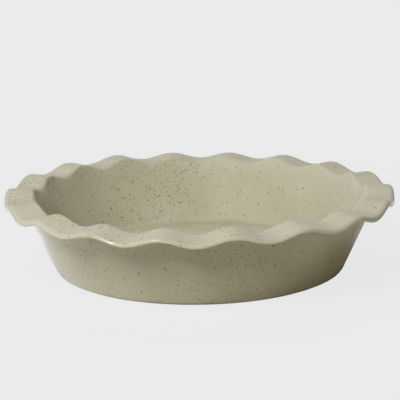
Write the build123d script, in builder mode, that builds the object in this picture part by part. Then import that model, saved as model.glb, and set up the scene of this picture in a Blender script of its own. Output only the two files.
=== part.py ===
from build123d import *
import math
import os

# Ruffled stoneware pie dish, in millimetres, +Z up.
# The origin is the centre of the foot ring, on the surface that the dish stands on.
# A profile runs from the foot up the outside, round the rim and down the inside. Each of its
# places is one closed ring round the dish, and the rings near the rim rise and fall in lobes.

# Overall form, measured over the glaze
dish_radius = 140.0
rim_height = 55.4
lobe_count = 18
lobe_wave = 2.2

# How far each lobe stands above or below the mean rim, as shares of the wave:
# a fired rim is never quite level. The first lobe is at +X, then counterclockwise.
lobe_lift_shares = (
    0.0, -0.05, -0.15, -0.2, -0.5, -0.3, 0.45, 0.55, 0.45,
    0.1, -0.05, -0.15, -0.3, -0.15, 0.2, 0.35, -0.1, -0.15,
)

# Walls, floor and flange
wall_lean = 24.0
wall_base_radius = 103.6
wall_thickness = 8.6
floor_thickness = 6.8
flange_thickness = 5.0

# How far below the mean rim the wave reaches down the walls
wave_depth = 13.0

# Rounded corners of the profile: under the flange, at the mouth and round the floor
neck_corner = 4.6
mouth_corner = 4.0
floor_corner = 5.6

# Foot ring: bare clay, set back from the wall by the glaze that ends above it
foot_ring_height = 1.6
foot_ring_width = 7.0
foot_corner = 6.0
foot_edge_bevel = 0.8
glaze_step = 0.4

# Points along one lobe, and steps along each stretch of the profile
points_per_lobe = 8
foot_steps = 1
wall_steps = 4
neck_steps = 2
flange_steps = 2
edge_steps = 4
mouth_steps = 3
floor_steps = 2

lean_sin = math.sin(math.radians(wall_lean))
lean_cos = math.cos(math.radians(wall_lean))
lean_slope = lean_sin / lean_cos
wall_width = wall_thickness / lean_cos


def lobe_rise(angle):
    """Height of the rim above its mean at an angle round the dish, in radians."""
    place = lobe_count * angle / math.tau
    lobe = int(place)
    blend = (1 - math.cos(math.pi * (place - lobe))) / 2
    lift = lobe_lift_shares[lobe % len(lobe_lift_shares)]
    next_lift = lobe_lift_shares[(lobe + 1) % len(lobe_lift_shares)]
    return lobe_wave * (math.cos(math.tau * place) + lift + (next_lift - lift) * blend)


def outer_wall_radius(height):
    """Radius of the outer face of the wall at a height above the foot."""
    return wall_base_radius + height * lean_slope


def dish_ring(radius, height, slide=0, share=0):
    """One closed ring: share is how much of the wave lifts it, slide how far that moves it out."""
    ring_points = []
    for step in range(lobe_count * points_per_lobe):
        angle = math.tau * step / (lobe_count * points_per_lobe)
        rise = share * lobe_rise(angle)
        reach = radius + slide * rise
        ring_points.append((reach * math.cos(angle), reach * math.sin(angle), height + rise))
    with BuildLine() as ring:
        Spline(*ring_points, periodic=True)
    return ring.wire()


def corner_places(centre, radius, start, end, steps, slides=(0, 0), share=0):
    """Places along a rounded corner of the profile, from one angle in degrees to another."""
    places = []
    for step in range(steps + 1):
        way = step / steps
        angle = math.radians(start + (end - start) * way)
        slide = slides[0] + (slides[1] - slides[0]) * way
        places.append((centre[0] + radius * math.cos(angle), centre[1] + radius * math.sin(angle), slide, share))
    return places


def straight_places(start, end, steps):
    """Places between two others on a straight stretch, with the slide and wave of the first."""
    return [
        (start[0] + (end[0] - start[0]) * step / steps, start[1] + (end[1] - start[1]) * step / steps, *start[2:])
        for step in range(1, steps)
    ]


def dish_places():
    """Profile places of the glazed dish, from its flat underside round to its floor."""
    # Where the wave ends on the outside and on the inside of the wall
    wave_end_height = rim_height - wave_depth
    outer_end = (outer_wall_radius(wave_end_height), wave_end_height, 0, 0)
    inner_end = (outer_wall_radius(wave_end_height) - wall_width, wave_end_height, 0, 0)

    # Centres of the rounded corners
    neck_height = rim_height - flange_thickness - neck_corner
    neck = (outer_wall_radius(neck_height) + neck_corner / lean_cos, neck_height)
    edge_corner = flange_thickness / 2
    edge = (dish_radius - edge_corner, rim_height - edge_corner)
    mouth_height = rim_height - mouth_corner
    mouth = (outer_wall_radius(mouth_height) - wall_width + mouth_corner / lean_cos, mouth_height)
    floor_height = foot_ring_height + floor_thickness + floor_corner
    floor = (outer_wall_radius(floor_height) - wall_width - floor_corner / lean_cos, floor_height)

    foot_start = -math.degrees(math.asin((foot_corner - foot_ring_height) / (foot_corner + glaze_step)))
    foot_arc = corner_places(foot, foot_corner + glaze_step, foot_start, -wall_lean, foot_steps)
    neck_arc = corner_places(neck, neck_corner, 180 - wall_lean, 90, neck_steps, (lean_slope, 0), 1)
    edge_arc = corner_places(edge, edge_corner, -90, 90, edge_steps, share=1)
    mouth_arc = corner_places(mouth, mouth_corner, 90, 180 - wall_lean, mouth_steps, (0, lean_slope), 1)
    floor_arc = corner_places(floor, floor_corner, -wall_lean, -90, floor_steps)

    outer_wall = straight_places(foot_arc[-1], outer_end, wall_steps) + [outer_end]
    underside = straight_places(neck_arc[-1], edge_arc[0], flange_steps)
    top_side = straight_places(edge_arc[-1], mouth_arc[0], flange_steps)
    inner_wall = [inner_end] + straight_places(inner_end, floor_arc[0], wall_steps)
    outside = foot_arc + outer_wall + neck_arc + underside
    inside = top_side + mouth_arc + inner_wall + floor_arc
    return outside + edge_arc + inside


# Centre of the rounded corner that runs from the wall round to the foot
foot = (outer_wall_radius(foot_corner) - (foot_corner + glaze_step) / lean_cos, foot_corner)

# Glazed dish: floor, sloping wall and ruffled flange, lofted ring by ring
with BuildPart() as glazed_dish:
    add(Solid.make_loft([dish_ring(*place) for place in dish_places()], ruled=True))

# Foot ring: the bare rim of clay under the floor that the dish stands on
with BuildPart() as foot_ring:
    with BuildSketch(Plane.XZ):
        with BuildLine():
            foot_sweep = math.degrees(math.acos((foot_corner - foot_ring_height) / foot_corner))
            side = CenterArc(foot, foot_corner, -90, foot_sweep, mode=Mode.PRIVATE)
            inner_radius = foot[0] - foot_ring_width
            outer_side = [side @ 0, side @ 0.5, side @ 1]
            Polyline(*outer_side, (inner_radius, foot_ring_height), (inner_radius, 0), close=True)
        make_face()
    revolve(axis=Axis.Z)
    standing_edges = foot_ring.edges().group_by(Axis.Z)[0].sort_by(SortBy.RADIUS)
    chamfer(standing_edges[0], length=foot_edge_bevel)

os.makedirs("parts", exist_ok=True)
pieces = {"glazed_dish": glazed_dish, "foot_ring": foot_ring}
for name, piece in pieces.items():
    piece.part.label = name
    export_step(piece.part, f"parts/{name}.step")
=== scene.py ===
import math

import bpy
from mathutils import Matrix, Vector


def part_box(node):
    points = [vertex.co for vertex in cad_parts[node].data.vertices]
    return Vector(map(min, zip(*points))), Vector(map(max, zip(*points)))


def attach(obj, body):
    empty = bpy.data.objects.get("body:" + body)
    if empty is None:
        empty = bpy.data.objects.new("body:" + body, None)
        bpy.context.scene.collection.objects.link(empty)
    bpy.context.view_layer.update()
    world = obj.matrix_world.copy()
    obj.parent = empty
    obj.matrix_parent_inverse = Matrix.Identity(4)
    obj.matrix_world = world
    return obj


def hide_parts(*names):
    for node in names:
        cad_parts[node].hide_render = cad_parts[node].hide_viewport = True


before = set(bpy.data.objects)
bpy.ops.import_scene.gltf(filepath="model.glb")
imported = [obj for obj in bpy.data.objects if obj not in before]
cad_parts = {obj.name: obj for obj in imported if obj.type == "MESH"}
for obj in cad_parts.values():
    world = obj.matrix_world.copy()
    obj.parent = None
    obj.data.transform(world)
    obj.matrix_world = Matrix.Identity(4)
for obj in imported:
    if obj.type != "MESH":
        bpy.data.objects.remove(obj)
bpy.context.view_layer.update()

mm = 0.001


def linearColour(hexCode):
    # sRGB hex to the linear values that Blender's sockets take
    channels = []
    for start in (0, 2, 4):
        value = int(hexCode[start:start + 2], 16) / 255
        channels.append(value / 12.92 if value <= 0.04045 else ((value + 0.055) / 1.055) ** 2.4)
    return (*channels, 1.0)


def addNode(tree, kind, settings=None, inputs=None, links=None):
    # settings are the node's own fields, inputs are socket values, links are sockets to draw from
    node = tree.nodes.new(kind)
    for name, value in (settings or {}).items():
        setattr(node, name, value)
    for name, value in (inputs or {}).items():
        node.inputs[name].default_value = value
    for name, source in (links or {}).items():
        tree.links.new(source, node.inputs[name])
    return node


def newMaterial(name):
    material = bpy.data.materials.new(name)
    material.use_nodes = True
    material.node_tree.nodes.clear()
    return material, material.node_tree


# One profile runs from the foot up the outside, round the rim and down to the floor, as in the CAD.
# Each place on it is a ring, and the rings near the rim rise and fall in lobes.
dishForm = {
    "rimHeight": 55.4 * mm,
    "lobes": 18,
    "wave": 2.2 * mm,
    "waveDepth": 13.0 * mm,        # how far below the rim the wave reaches down the walls
    # how far each lobe stands off the mean rim, as shares of the wave, counterclockwise from +X
    "lobeLifts": (
        0.0, -0.05, -0.15, -0.2, -0.5, -0.3, 0.45, 0.55, 0.45,
        0.1, -0.05, -0.15, -0.3, -0.15, 0.2, 0.35, -0.1, -0.15,
    ),
    "wallLean": math.radians(24),
    "wallBaseRadius": 103.6 * mm,
    "wallThickness": 8.6 * mm,
    "floorHeight": 8.4 * mm,
    "flangeThickness": 5.5 * mm,
    "edgeUnderCorner": 2.0 * mm,   # the rest of the flange's thickness is its upper corner
    "frontDroop": 2.1 * mm,        # the flange's edge sags this far at the front
    "footCorner": 6.4 * mm,
    "footCornerHeight": 6.0 * mm,
    "neckCorner": 4.6 * mm,
    "mouthCorner": 4.0 * mm,
    "floorCorner": 5.6 * mm,
    "pointsPerLobe": 16,
    "floorRings": 6,
    "sharpAngle": math.radians(35),  # keeps the glaze line above the foot crisp
}

# steps along each stretch of the profile
ringSteps = {
    "footCorner": 4,
    "wall": 6,
    "neckCorner": 8,
    "flange": 4,
    "underEdge": 6,
    "topEdge": 8,
    "flangeTop": 6,
    "mouthCorner": 10,
    "floorCorner": 8,
}


def lobeRise(angle):
    # height of the rim above its mean at an angle round the dish
    lifts = dishForm["lobeLifts"]
    place = dishForm["lobes"] * angle / math.tau
    lobe = int(place)
    blend = (1 - math.cos(math.pi * (place - lobe))) / 2
    lift = lifts[lobe % len(lifts)]
    nextLift = lifts[(lobe + 1) % len(lifts)]
    return dishForm["wave"] * (math.cos(math.tau * place) + lift + (nextLift - lift) * blend)


def edgeDroop(angle):
    # the flange sags outwards at the front, most at -Y, and is level at the back
    return dishForm["frontDroop"] * max(0.0, -math.sin(angle))


def cornerPlaces(centre, radius, start, end, steps, slides=(0, 0), share=0):
    # places round a corner of the profile: radius, height, slide and share of the wave
    places = []
    for step in range(steps + 1):
        way = step / steps
        angle = start + (end - start) * way
        slide = slides[0] + (slides[1] - slides[0]) * way
        reach = centre[0] + radius * math.cos(angle)
        places.append((reach, centre[1] + radius * math.sin(angle), slide, share))
    return places


def straightPlaces(start, end, steps):
    # places between two others, with the slide and the share of the first
    places = []
    for step in range(1, steps):
        way = step / steps
        reach = start[0] + (end[0] - start[0]) * way
        places.append((reach, start[1] + (end[1] - start[1]) * way, *start[2:]))
    return places


def dishPlaces(dishRadius, footHeight):
    form = dishForm
    steps = ringSteps
    lean = form["wallLean"]
    slope = math.tan(lean)
    wallWidth = form["wallThickness"] / math.cos(lean)
    quarter = math.pi / 2

    def outerRadius(height):
        return form["wallBaseRadius"] + height * slope

    # where the wave ends on the outside and the inside of the wall
    endHeight = form["rimHeight"] - form["waveDepth"]
    outerEnd = (outerRadius(endHeight), endHeight, 0, 0)
    innerEnd = (outerRadius(endHeight) - wallWidth, endHeight, 0, 0)

    # centres of the rounded corners
    footCorner = form["footCorner"]
    cornerHeight = form["footCornerHeight"]
    foot = (outerRadius(cornerHeight) - footCorner / math.cos(lean), cornerHeight)
    footStart = -math.asin((cornerHeight - footHeight) / footCorner)
    neckHeight = form["rimHeight"] - form["flangeThickness"] - form["neckCorner"]
    neck = (outerRadius(neckHeight) + form["neckCorner"] / math.cos(lean), neckHeight)
    underCorner = form["edgeUnderCorner"]
    topCorner = form["flangeThickness"] - underCorner
    under = (dishRadius - underCorner, form["rimHeight"] - topCorner)
    top = (dishRadius - topCorner, form["rimHeight"] - topCorner)
    mouthHeight = form["rimHeight"] - form["mouthCorner"]
    mouthRadius = outerRadius(mouthHeight) - wallWidth + form["mouthCorner"] / math.cos(lean)
    mouth = (mouthRadius, mouthHeight)
    floorHeight = form["floorHeight"] + form["floorCorner"]
    floorRadius = outerRadius(floorHeight) - wallWidth - form["floorCorner"] / math.cos(lean)
    floor = (floorRadius, floorHeight)

    footArc = cornerPlaces(foot, footCorner, footStart, -lean, steps["footCorner"])
    neckArc = cornerPlaces(
        neck, form["neckCorner"], math.pi - lean, quarter, steps["neckCorner"], (slope, 0), 1)
    edgeArc = cornerPlaces(under, underCorner, -quarter, 0, steps["underEdge"], share=1)
    edgeArc += cornerPlaces(top, topCorner, 0, quarter, steps["topEdge"], share=1)[1:]
    mouthArc = cornerPlaces(
        mouth, form["mouthCorner"], quarter, math.pi - lean, steps["mouthCorner"], (0, slope), 1)
    floorArc = cornerPlaces(floor, form["floorCorner"], -lean, -quarter, steps["floorCorner"])

    outside = footArc + straightPlaces(footArc[-1], outerEnd, steps["wall"]) + [outerEnd]
    outside += neckArc + straightPlaces(neckArc[-1], edgeArc[0], steps["flange"])
    topSide = straightPlaces(edgeArc[-1], mouthArc[0], steps["flangeTop"])
    inside = mouthArc + [innerEnd] + straightPlaces(innerEnd, floorArc[0], steps["wall"]) + floorArc

    # a last value gives the share of the droop: none under the flange, all on top of its edge, and
    # none again at the mouth
    outside = [(*place, 0) for place in outside]
    underHeight = edgeArc[0][1]
    edge = [(*place, (place[1] - underHeight) / form["flangeThickness"]) for place in edgeArc]
    topSide = [(*place, 1 - (number + 1) / steps["flangeTop"]) for number, place in enumerate(topSide)]
    inside = [(*place, 0) for place in inside]
    return outside + edge + topSide + inside


def buildDish():
    low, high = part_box("glazed_dish")
    places = dishPlaces(high[0], low[2])
    around = dishForm["lobes"] * dishForm["pointsPerLobe"]
    lastRadius, lastHeight = places[-1][:2]
    for ring in range(1, dishForm["floorRings"]):  # the flat floor, in to its centre
        places.append((lastRadius * (1 - ring / dishForm["floorRings"]), lastHeight, 0, 0, 0))

    vertices = []
    for radius, height, slide, share, droop in places:
        for step in range(around):
            angle = math.tau * step / around
            rise = share * lobeRise(angle)
            reach = radius + slide * rise
            level = height + rise - droop * edgeDroop(angle)
            vertices.append((reach * math.cos(angle), reach * math.sin(angle), level))
    faces = []
    for ring in range(len(places) - 1):
        for step in range(around):
            here = ring * around + step
            nextAlong = ring * around + (step + 1) % around
            faces.append((here, nextAlong, nextAlong + around, here + around))

    # fans close the underside and the middle of the floor
    underCentre = len(vertices)
    vertices.append((0, 0, places[0][1]))
    floorCentre = len(vertices)
    vertices.append((0, 0, lastHeight))
    lastStart = (len(places) - 1) * around
    for step in range(around):
        follow = (step + 1) % around
        faces.append((underCentre, follow, step))
        faces.append((floorCentre, lastStart + step, lastStart + follow))

    mesh = bpy.data.meshes.new("ruffledDish")
    mesh.from_pydata(vertices, [], faces)
    mesh.validate()
    mesh.shade_smooth()
    mesh.set_sharp_from_angle(angle=dishForm["sharpAngle"])
    dish = bpy.data.objects.new("ruffledDish", mesh)
    bpy.context.scene.collection.objects.link(dish)
    return dish


# Glazed stoneware: a satin glaze of sage cream, dipped and fired over iron-bearing clay. It gives soft
# highlights, a faintly rippled skin, a slow drift of tone, and brown specks where grains of iron have
# bled up through it.
glaze = {
    "colour": "c2bda3",
    "thinColour": "c5c0a7",
    "deepColour": "beb99e",
    "mottleSize": 34 * mm,
    "mottleSpan": (0.32, 0.68),    # noise values that show the deep and the thin colour
    "rimPaleSheen": "fdfbf6",           # pale glaze on the flange: partly the glaze running thin there, partly painted sheen of the light on the flange's top
    "rimPaleSheenFrom": 44 * mm,
    "rimPaleSheenTo": 54 * mm,
    "rimPaleSheenShare": 0.05,
    "roughness": 0.2,
    "ior": 1.5,
    "rippleSize": 5 * mm,
    "rippleHeight": 0.05 * mm,
    # Real grains are mostly under half a millimetre wide, too fine to show in the render, so each
    # layer is drawn wider: the spacing of its grains, how many of them show, and how wide they are.
    # From faint stains under the glaze to a few dark grains.
    "speckLayers": (
        {"spacing": 5 * mm, "shown": 0.4, "radius": 2.2 * mm, "colour": "a39c80", "strength": 0.4},
        {"spacing": 1.7 * mm, "shown": 0.3, "radius": 0.75 * mm, "colour": "8d805b", "strength": 0.6},
        {"spacing": 2.7 * mm, "shown": 0.34, "radius": 1.05 * mm, "colour": "6b5e3e", "strength": 0.62},
        {"spacing": 8 * mm, "shown": 0.35, "radius": 1.2 * mm, "colour": "3a3326", "strength": 0.8},
    ),
    "narrowestGrain": 0.45,        # share of the widest grain's width
    "grainSolid": 0.4,             # share of a grain's width before its edge begins to fade
    "grainWobble": 1.6 * mm,       # size of the noise that pushes the grains out of round
    "grainPush": 1.2 * mm,
    # The grains lie thickest in a few places: centre, how far the thick part and its fading reach,
    # and how thick. Elsewhere they thin out to the share in thinShare.
    "speckGathers": (
        {"centre": (-45 * mm, 100 * mm, 30 * mm), "reach": 40 * mm, "fade": 85 * mm, "share": 1.9},
        {"centre": (-30 * mm, -135 * mm, 15 * mm), "reach": 75 * mm, "fade": 120 * mm, "share": 1.3},
        {"centre": (-140 * mm, 0, 58 * mm), "reach": 45 * mm, "fade": 60 * mm, "share": 2.6},
    ),
    "thinShare": 0.5,
    "driftSize": 45 * mm,          # a slow noise that thickens and thins the grains as well
    "driftSpan": (0.35, 0.65),
    "driftShares": (0.6, 1.4),
}


def speckMask(tree, place, density, layer):
    # a cell's own random colour says whether its grain shows and how wide it is
    cells = addNode(tree, "ShaderNodeTexVoronoi",
                    {"voronoi_dimensions": "3D", "feature": "F1"},
                    {"Scale": 1 / layer["spacing"], "Randomness": 1.0},
                    {"Vector": place})
    dice = addNode(tree, "ShaderNodeSeparateColor", links={"Color": cells.outputs["Color"]})
    widest = layer["radius"] / layer["spacing"]
    width = addNode(tree, "ShaderNodeMapRange", {"clamp": True},
                    {"To Min": widest * glaze["narrowestGrain"], "To Max": widest},
                    {"Value": dice.outputs["Green"]})
    inside = addNode(tree, "ShaderNodeMath", {"operation": "DIVIDE"},
                     links={0: cells.outputs["Distance"], 1: width.outputs["Result"]})
    edge = addNode(tree, "ShaderNodeMapRange", {"clamp": True},
                   {"From Min": glaze["grainSolid"], "To Min": layer["strength"], "To Max": 0.0},
                   {"Value": inside.outputs["Value"]})
    odds = addNode(tree, "ShaderNodeMath", {"operation": "MULTIPLY"}, {1: layer["shown"]}, {0: density})
    shown = addNode(tree, "ShaderNodeMath", {"operation": "LESS_THAN"},
                    links={0: dice.outputs["Red"], 1: odds.outputs["Value"]})
    mask = addNode(tree, "ShaderNodeMath", {"operation": "MULTIPLY"},
                   links={0: edge.outputs["Result"], 1: shown.outputs["Value"]})
    return mask.outputs["Value"]


def speckDensity(tree, place):
    # the grains gather in some places and thin out in others
    drift = addNode(tree, "ShaderNodeTexNoise", {"noise_dimensions": "3D"},
                    {"Scale": 1 / glaze["driftSize"], "Detail": 1.0, "Roughness": 0.5},
                    {"Vector": place})
    low, high = glaze["driftSpan"]
    fewest, most = glaze["driftShares"]
    driftShare = addNode(tree, "ShaderNodeMapRange", {"clamp": True},
                         {"From Min": low, "From Max": high, "To Min": fewest, "To Max": most},
                         {"Value": drift.outputs["Fac"]})
    gathered = None
    for gather in glaze["speckGathers"]:
        gap = addNode(tree, "ShaderNodeVectorMath", {"operation": "DISTANCE"},
                      {1: gather["centre"]}, {0: place})
        share = addNode(tree, "ShaderNodeMapRange", {"clamp": True, "interpolation_type": "SMOOTHSTEP"},
                        {"From Min": gather["reach"], "From Max": gather["fade"],
                         "To Min": gather["share"], "To Max": glaze["thinShare"]},
                        {"Value": gap.outputs["Value"]}).outputs["Result"]
        if gathered:
            share = addNode(tree, "ShaderNodeMath", {"operation": "MAXIMUM"},
                            links={0: gathered, 1: share}).outputs["Value"]
        gathered = share
    density = addNode(tree, "ShaderNodeMath", {"operation": "MULTIPLY"},
                      links={0: driftShare.outputs["Result"], 1: gathered})
    return density.outputs["Value"]


def pushedPlace(tree, place):
    # pushes the places of the specks about, so that no grain is a round dot
    wobble = addNode(tree, "ShaderNodeTexNoise", {"noise_dimensions": "3D"},
                     {"Scale": 1 / glaze["grainWobble"], "Detail": 0.0},
                     {"Vector": place})
    push = addNode(tree, "ShaderNodeVectorMath", {"operation": "SCALE"},
                   {"Scale": glaze["grainPush"]}, {0: wobble.outputs["Color"]})
    pushed = addNode(tree, "ShaderNodeVectorMath", {"operation": "ADD"},
                     links={0: place, 1: push.outputs["Vector"]})
    return pushed.outputs["Vector"]


def mixColour(tree, share, under, over):
    # lays a fixed colour over another by a share, and gives the colour that comes out
    mix = addNode(tree, "ShaderNodeMix", {"data_type": "RGBA", "blend_type": "MIX"},
                  {7: linearColour(over)}, {0: share, 6: under})
    return mix.outputs[2]


def makeGlazedStoneware():
    material, tree = newMaterial("speckledGlazedStoneware")
    place = addNode(tree, "ShaderNodeTexCoord").outputs["Object"]

    mottle = addNode(tree, "ShaderNodeTexNoise", {"noise_dimensions": "3D"},
                     {"Scale": 1 / glaze["mottleSize"], "Detail": 3.0, "Roughness": 0.55},
                     {"Vector": place})
    tone = addNode(tree, "ShaderNodeValToRGB", links={"Fac": mottle.outputs["Fac"]})
    ramp = tone.color_ramp
    ramp.elements[0].position, ramp.elements[1].position = glaze["mottleSpan"]
    ramp.elements[0].color = linearColour(glaze["deepColour"])
    ramp.elements[1].color = linearColour(glaze["thinColour"])
    middle = ramp.elements.new(0.5)
    middle.color = linearColour(glaze["colour"])

    height = addNode(tree, "ShaderNodeSeparateXYZ", links={"Vector": place}).outputs["Z"]
    # paints the flange paler towards the rim, partly for thin glaze and partly as painted sheen of the
    # light on its top
    paleSheen = addNode(tree, "ShaderNodeMapRange", {"clamp": True, "interpolation_type": "SMOOTHSTEP"},
                   {"From Min": glaze["rimPaleSheenFrom"], "From Max": glaze["rimPaleSheenTo"],
                    "To Max": glaze["rimPaleSheenShare"]},
                   {"Value": height})
    colour = mixColour(tree, paleSheen.outputs["Result"], tone.outputs["Color"], glaze["rimPaleSheen"])

    density = speckDensity(tree, place)
    grainPlace = pushedPlace(tree, place)
    for layer in glaze["speckLayers"]:
        mask = speckMask(tree, grainPlace, density, layer)
        colour = mixColour(tree, mask, colour, layer["colour"])

    ripple = addNode(tree, "ShaderNodeTexNoise", {"noise_dimensions": "3D"},
                     {"Scale": 1 / glaze["rippleSize"], "Detail": 2.0, "Roughness": 0.4},
                     {"Vector": place})
    bump = addNode(tree, "ShaderNodeBump", inputs={"Strength": 1.0, "Distance": glaze["rippleHeight"]},
                   links={"Height": ripple.outputs["Fac"]})
    surface = addNode(tree, "ShaderNodeBsdfPrincipled",
                      inputs={"Roughness": glaze["roughness"], "IOR": glaze["ior"]},
                      links={"Base Color": colour, "Normal": bump.outputs["Normal"]})
    addNode(tree, "ShaderNodeOutputMaterial", links={"Surface": surface.outputs["BSDF"]})
    return material


# Bare stoneware: fired clay wiped clean of glaze. It looks dry, matt and slightly sandy, with no
# highlight.
bareClay = {
    "colour": "a8957a",
    "darkColour": "94816a",
    "grainSize": 0.9 * mm,
    "grainSpan": (0.35, 0.6),      # noise values that show the dark and the light clay
    "roughness": 0.85,
}


def makeBareStoneware():
    material, tree = newMaterial("bareStoneware")
    place = addNode(tree, "ShaderNodeTexCoord").outputs["Object"]
    grain = addNode(tree, "ShaderNodeTexNoise", {"noise_dimensions": "3D"},
                    {"Scale": 1 / bareClay["grainSize"], "Detail": 4.0},
                    {"Vector": place})
    tone = addNode(tree, "ShaderNodeValToRGB", links={"Fac": grain.outputs["Fac"]})
    ramp = tone.color_ramp
    ramp.elements[0].position, ramp.elements[1].position = bareClay["grainSpan"]
    ramp.elements[0].color = linearColour(bareClay["darkColour"])
    ramp.elements[1].color = linearColour(bareClay["colour"])
    surface = addNode(tree, "ShaderNodeBsdfPrincipled",
                      inputs={"Roughness": bareClay["roughness"]},
                      links={"Base Color": tone.outputs["Color"]})
    addNode(tree, "ShaderNodeOutputMaterial", links={"Surface": surface.outputs["BSDF"]})
    return material


studio = {
    "backdrop": "ebebeb",
    "floorRadius": 30.0,
    "floorCorners": 64,
    "shadowShare": 0.06,           # share of the floor near the dish that the lamps light, for its shadow
    "shadowReach": (0.25, 0.6),    # where that share begins to fade, and where it ends
    "shadowPaper": 0.9,            # brightness of that lit share
    "paper": "b9b4a1",             # what the floor throws back onto the dish
    "paperGlare": 1.4,             # brightness of the floor in the glaze's reflections
    "ambient": 0.03,               # strength of the air for the dish's colour
    "glossAir": 0.5,               # strength of the air in the glaze's reflections
}


def makeFloor():
    material, tree = newMaterial("paperFloor")
    rays = addNode(tree, "ShaderNodeLightPath")
    glare = studio["paperGlare"]
    level = studio["shadowPaper"]
    paper = addNode(tree, "ShaderNodeBsdfDiffuse", inputs={"Color": linearColour(studio["paper"])})
    bright = addNode(tree, "ShaderNodeBsdfDiffuse", inputs={"Color": (glare, glare, glare, 1.0)})
    shadowed = addNode(tree, "ShaderNodeBsdfDiffuse", inputs={"Color": (level, level, level, 1.0)})
    glow = addNode(tree, "ShaderNodeEmission",
                   inputs={"Color": linearColour(studio["backdrop"]), "Strength": 1.0})

    near, far = studio["shadowReach"]
    place = addNode(tree, "ShaderNodeTexCoord").outputs["Object"]
    spread = addNode(tree, "ShaderNodeVectorMath", {"operation": "LENGTH"}, links={0: place})
    share = addNode(tree, "ShaderNodeMapRange", {"clamp": True, "interpolation_type": "SMOOTHSTEP"},
                    {"From Min": near, "From Max": far, "To Min": studio["shadowShare"], "To Max": 0.0},
                    {"Value": spread.outputs["Value"]})
    seen = addNode(tree, "ShaderNodeMixShader",
                   links={0: share.outputs["Result"], 1: glow.outputs["Emission"],
                          2: shadowed.outputs["BSDF"]})
    mirrored = addNode(tree, "ShaderNodeMixShader",
                       links={0: rays.outputs["Is Glossy Ray"], 1: paper.outputs["BSDF"],
                              2: bright.outputs["BSDF"]})
    either = addNode(tree, "ShaderNodeMixShader",
                     links={0: rays.outputs["Is Camera Ray"], 1: mirrored.outputs["Shader"],
                            2: seen.outputs["Shader"]})
    addNode(tree, "ShaderNodeOutputMaterial", links={"Surface": either.outputs["Shader"]})

    corners = studio["floorCorners"]
    turns = [math.tau * corner / corners for corner in range(corners)]
    radius = studio["floorRadius"]
    rim = [(radius * math.cos(turn), radius * math.sin(turn), 0) for turn in turns]
    mesh = bpy.data.meshes.new("studioFloor")
    mesh.from_pydata(rim, [], [tuple(range(corners))])
    mesh.materials.append(material)
    floor = bpy.data.objects.new("studioFloor", mesh)
    bpy.context.scene.collection.objects.link(floor)


def makeWorld():
    world = bpy.data.worlds.new("studioAir")
    bpy.context.scene.world = world
    world.use_nodes = True
    tree = world.node_tree
    tree.nodes.clear()
    backdrop = linearColour(studio["backdrop"])[0]
    rays = addNode(tree, "ShaderNodeLightPath")
    mirrored = addNode(tree, "ShaderNodeMapRange", {"clamp": True},
                       {"To Min": studio["ambient"], "To Max": studio["glossAir"]},
                       {"Value": rays.outputs["Is Glossy Ray"]})
    strength = addNode(tree, "ShaderNodeMapRange", {"clamp": True}, {"To Max": backdrop},
                       {"Value": rays.outputs["Is Camera Ray"], "To Min": mirrored.outputs["Result"]})
    air = addNode(tree, "ShaderNodeBackground", inputs={"Color": (1, 1, 1, 1)},
                  links={"Strength": strength.outputs["Result"]})
    addNode(tree, "ShaderNodeOutputWorld", links={"Surface": air.outputs["Background"]})


# Softboxes: direction in degrees round from +X and above the floor, distance in metres from the
# point that they face, size in metres, power in watts, tint, and which rays meet them. They face the
# origin unless aim names a point, and beam narrows the light that they give, in degrees.
lamps = (
    {"name": "keySoftbox", "around": 240, "above": 44, "away": 1.7, "size": (0.8, 0.6), "power": 24.0,
     "tint": "ffffff", "lights": ("diffuse",)},
    {"name": "leftFill", "around": 184, "above": 7, "away": 1.7, "size": (0.9, 0.35), "power": 7.0,
     "tint": "e0eaff", "lights": ("diffuse",)},
    {"name": "rightFill", "around": 335, "above": 14, "away": 1.7, "size": (0.9, 0.5), "power": 1.5,
     "tint": "ffe4a4", "lights": ("diffuse",)},
    {"name": "topSoftbox", "around": 90, "above": 48, "away": 1.7, "size": (0.9, 0.5), "power": 7.6,
     "tint": "ffffff", "lights": ("diffuse",)},
    {"name": "rearFill", "around": 90, "above": 5, "away": 1.7, "size": (1.2, 0.35), "power": 3.5,
     "tint": "ffffff", "lights": ("diffuse",)},
    # a small lamp that only draws the streak of light on the front rim
    {"name": "rimGlint", "around": 220, "above": 57, "away": 0.5, "size": (0.12, 0.12), "power": 0.016,
     "tint": "ffffff", "lights": ("glossy",), "beam": 10, "aim": (-45 * mm, -131 * mm, 53 * mm)},
)


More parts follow.
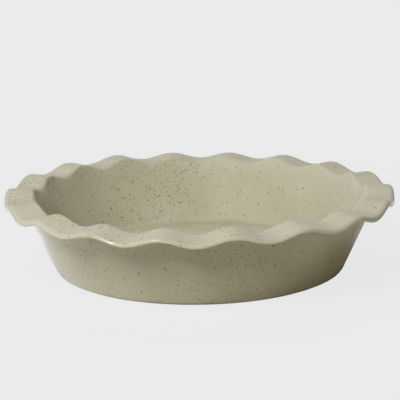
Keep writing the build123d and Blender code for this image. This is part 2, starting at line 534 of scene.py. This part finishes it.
def hangLamp(lamp):
    light = bpy.data.lights.new(lamp["name"], "AREA")
    light.shape = "RECTANGLE"
    light.size, light.size_y = lamp["size"]
    light.energy = lamp["power"]
    light.color = linearColour(lamp["tint"])[:3]
    if "beam" in lamp:
        light.spread = math.radians(lamp["beam"])
    around, above = math.radians(lamp["around"]), math.radians(lamp["above"])
    level = math.cos(above)
    direction = Vector((level * math.cos(around), level * math.sin(around), math.sin(above)))
    holder = bpy.data.objects.new(lamp["name"], light)
    holder.location = Vector(lamp.get("aim", (0, 0, 0))) + direction * lamp["away"]
    holder.rotation_euler = (-direction).to_track_quat("-Z", "Y").to_euler()
    holder.visible_camera = False
    holder.visible_diffuse = "diffuse" in lamp["lights"]
    holder.visible_glossy = "glossy" in lamp["lights"]
    bpy.context.scene.collection.objects.link(holder)


# the camera, fitted to the dish's outline in the photograph: metres, degrees, and the lens in mm
view = {
    "distance": 1.007,
    "elevation": 12.98,
    "azimuth": 0.58,
    "roll": -0.858,
    "focalLength": 125.16,
    "sensor": 36.0,
    "aim": (0.46 * mm, 0.0, 48.03 * mm),
    "clipEnd": 100,
}


def placeCamera():
    elevation = math.radians(view["elevation"])
    roll = math.radians(view["roll"])
    turn = Matrix.Rotation(math.radians(view["azimuth"]), 3, "Z")
    forward = Vector((0, math.cos(elevation), -math.sin(elevation)))
    right = Vector((1, 0, 0))
    up = right.cross(forward)
    place = Vector(view["aim"]) - forward * view["distance"]
    cameraRight = right * math.cos(roll) + up * math.sin(roll)
    cameraUp = up * math.cos(roll) - right * math.sin(roll)
    axes = [turn @ axis for axis in (cameraRight, cameraUp, -forward)]

    lens = bpy.data.cameras.new("productCamera")
    lens.lens = view["focalLength"]
    lens.sensor_width = view["sensor"]
    lens.clip_end = view["clipEnd"]
    camera = bpy.data.objects.new("productCamera", lens)
    camera.matrix_world = Matrix.Translation(turn @ place) @ Matrix(axes).transposed().to_4x4()
    bpy.context.scene.collection.objects.link(camera)
    bpy.context.scene.camera = camera


glazedStoneware = makeGlazedStoneware()
bareStoneware = makeBareStoneware()
print("materials ready")

dish = buildDish()
dish.data.materials.append(glazedStoneware)
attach(dish, "root")
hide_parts("glazed_dish")
print("dish built")

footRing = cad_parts["foot_ring"]
footRing.data.materials.clear()
footRing.data.materials.append(bareStoneware)
print("foot ring dressed")

makeFloor()
makeWorld()
for lamp in lamps:
    hangLamp(lamp)
placeCamera()
bpy.context.scene.view_settings.view_transform = "Standard"
print("studio ready")
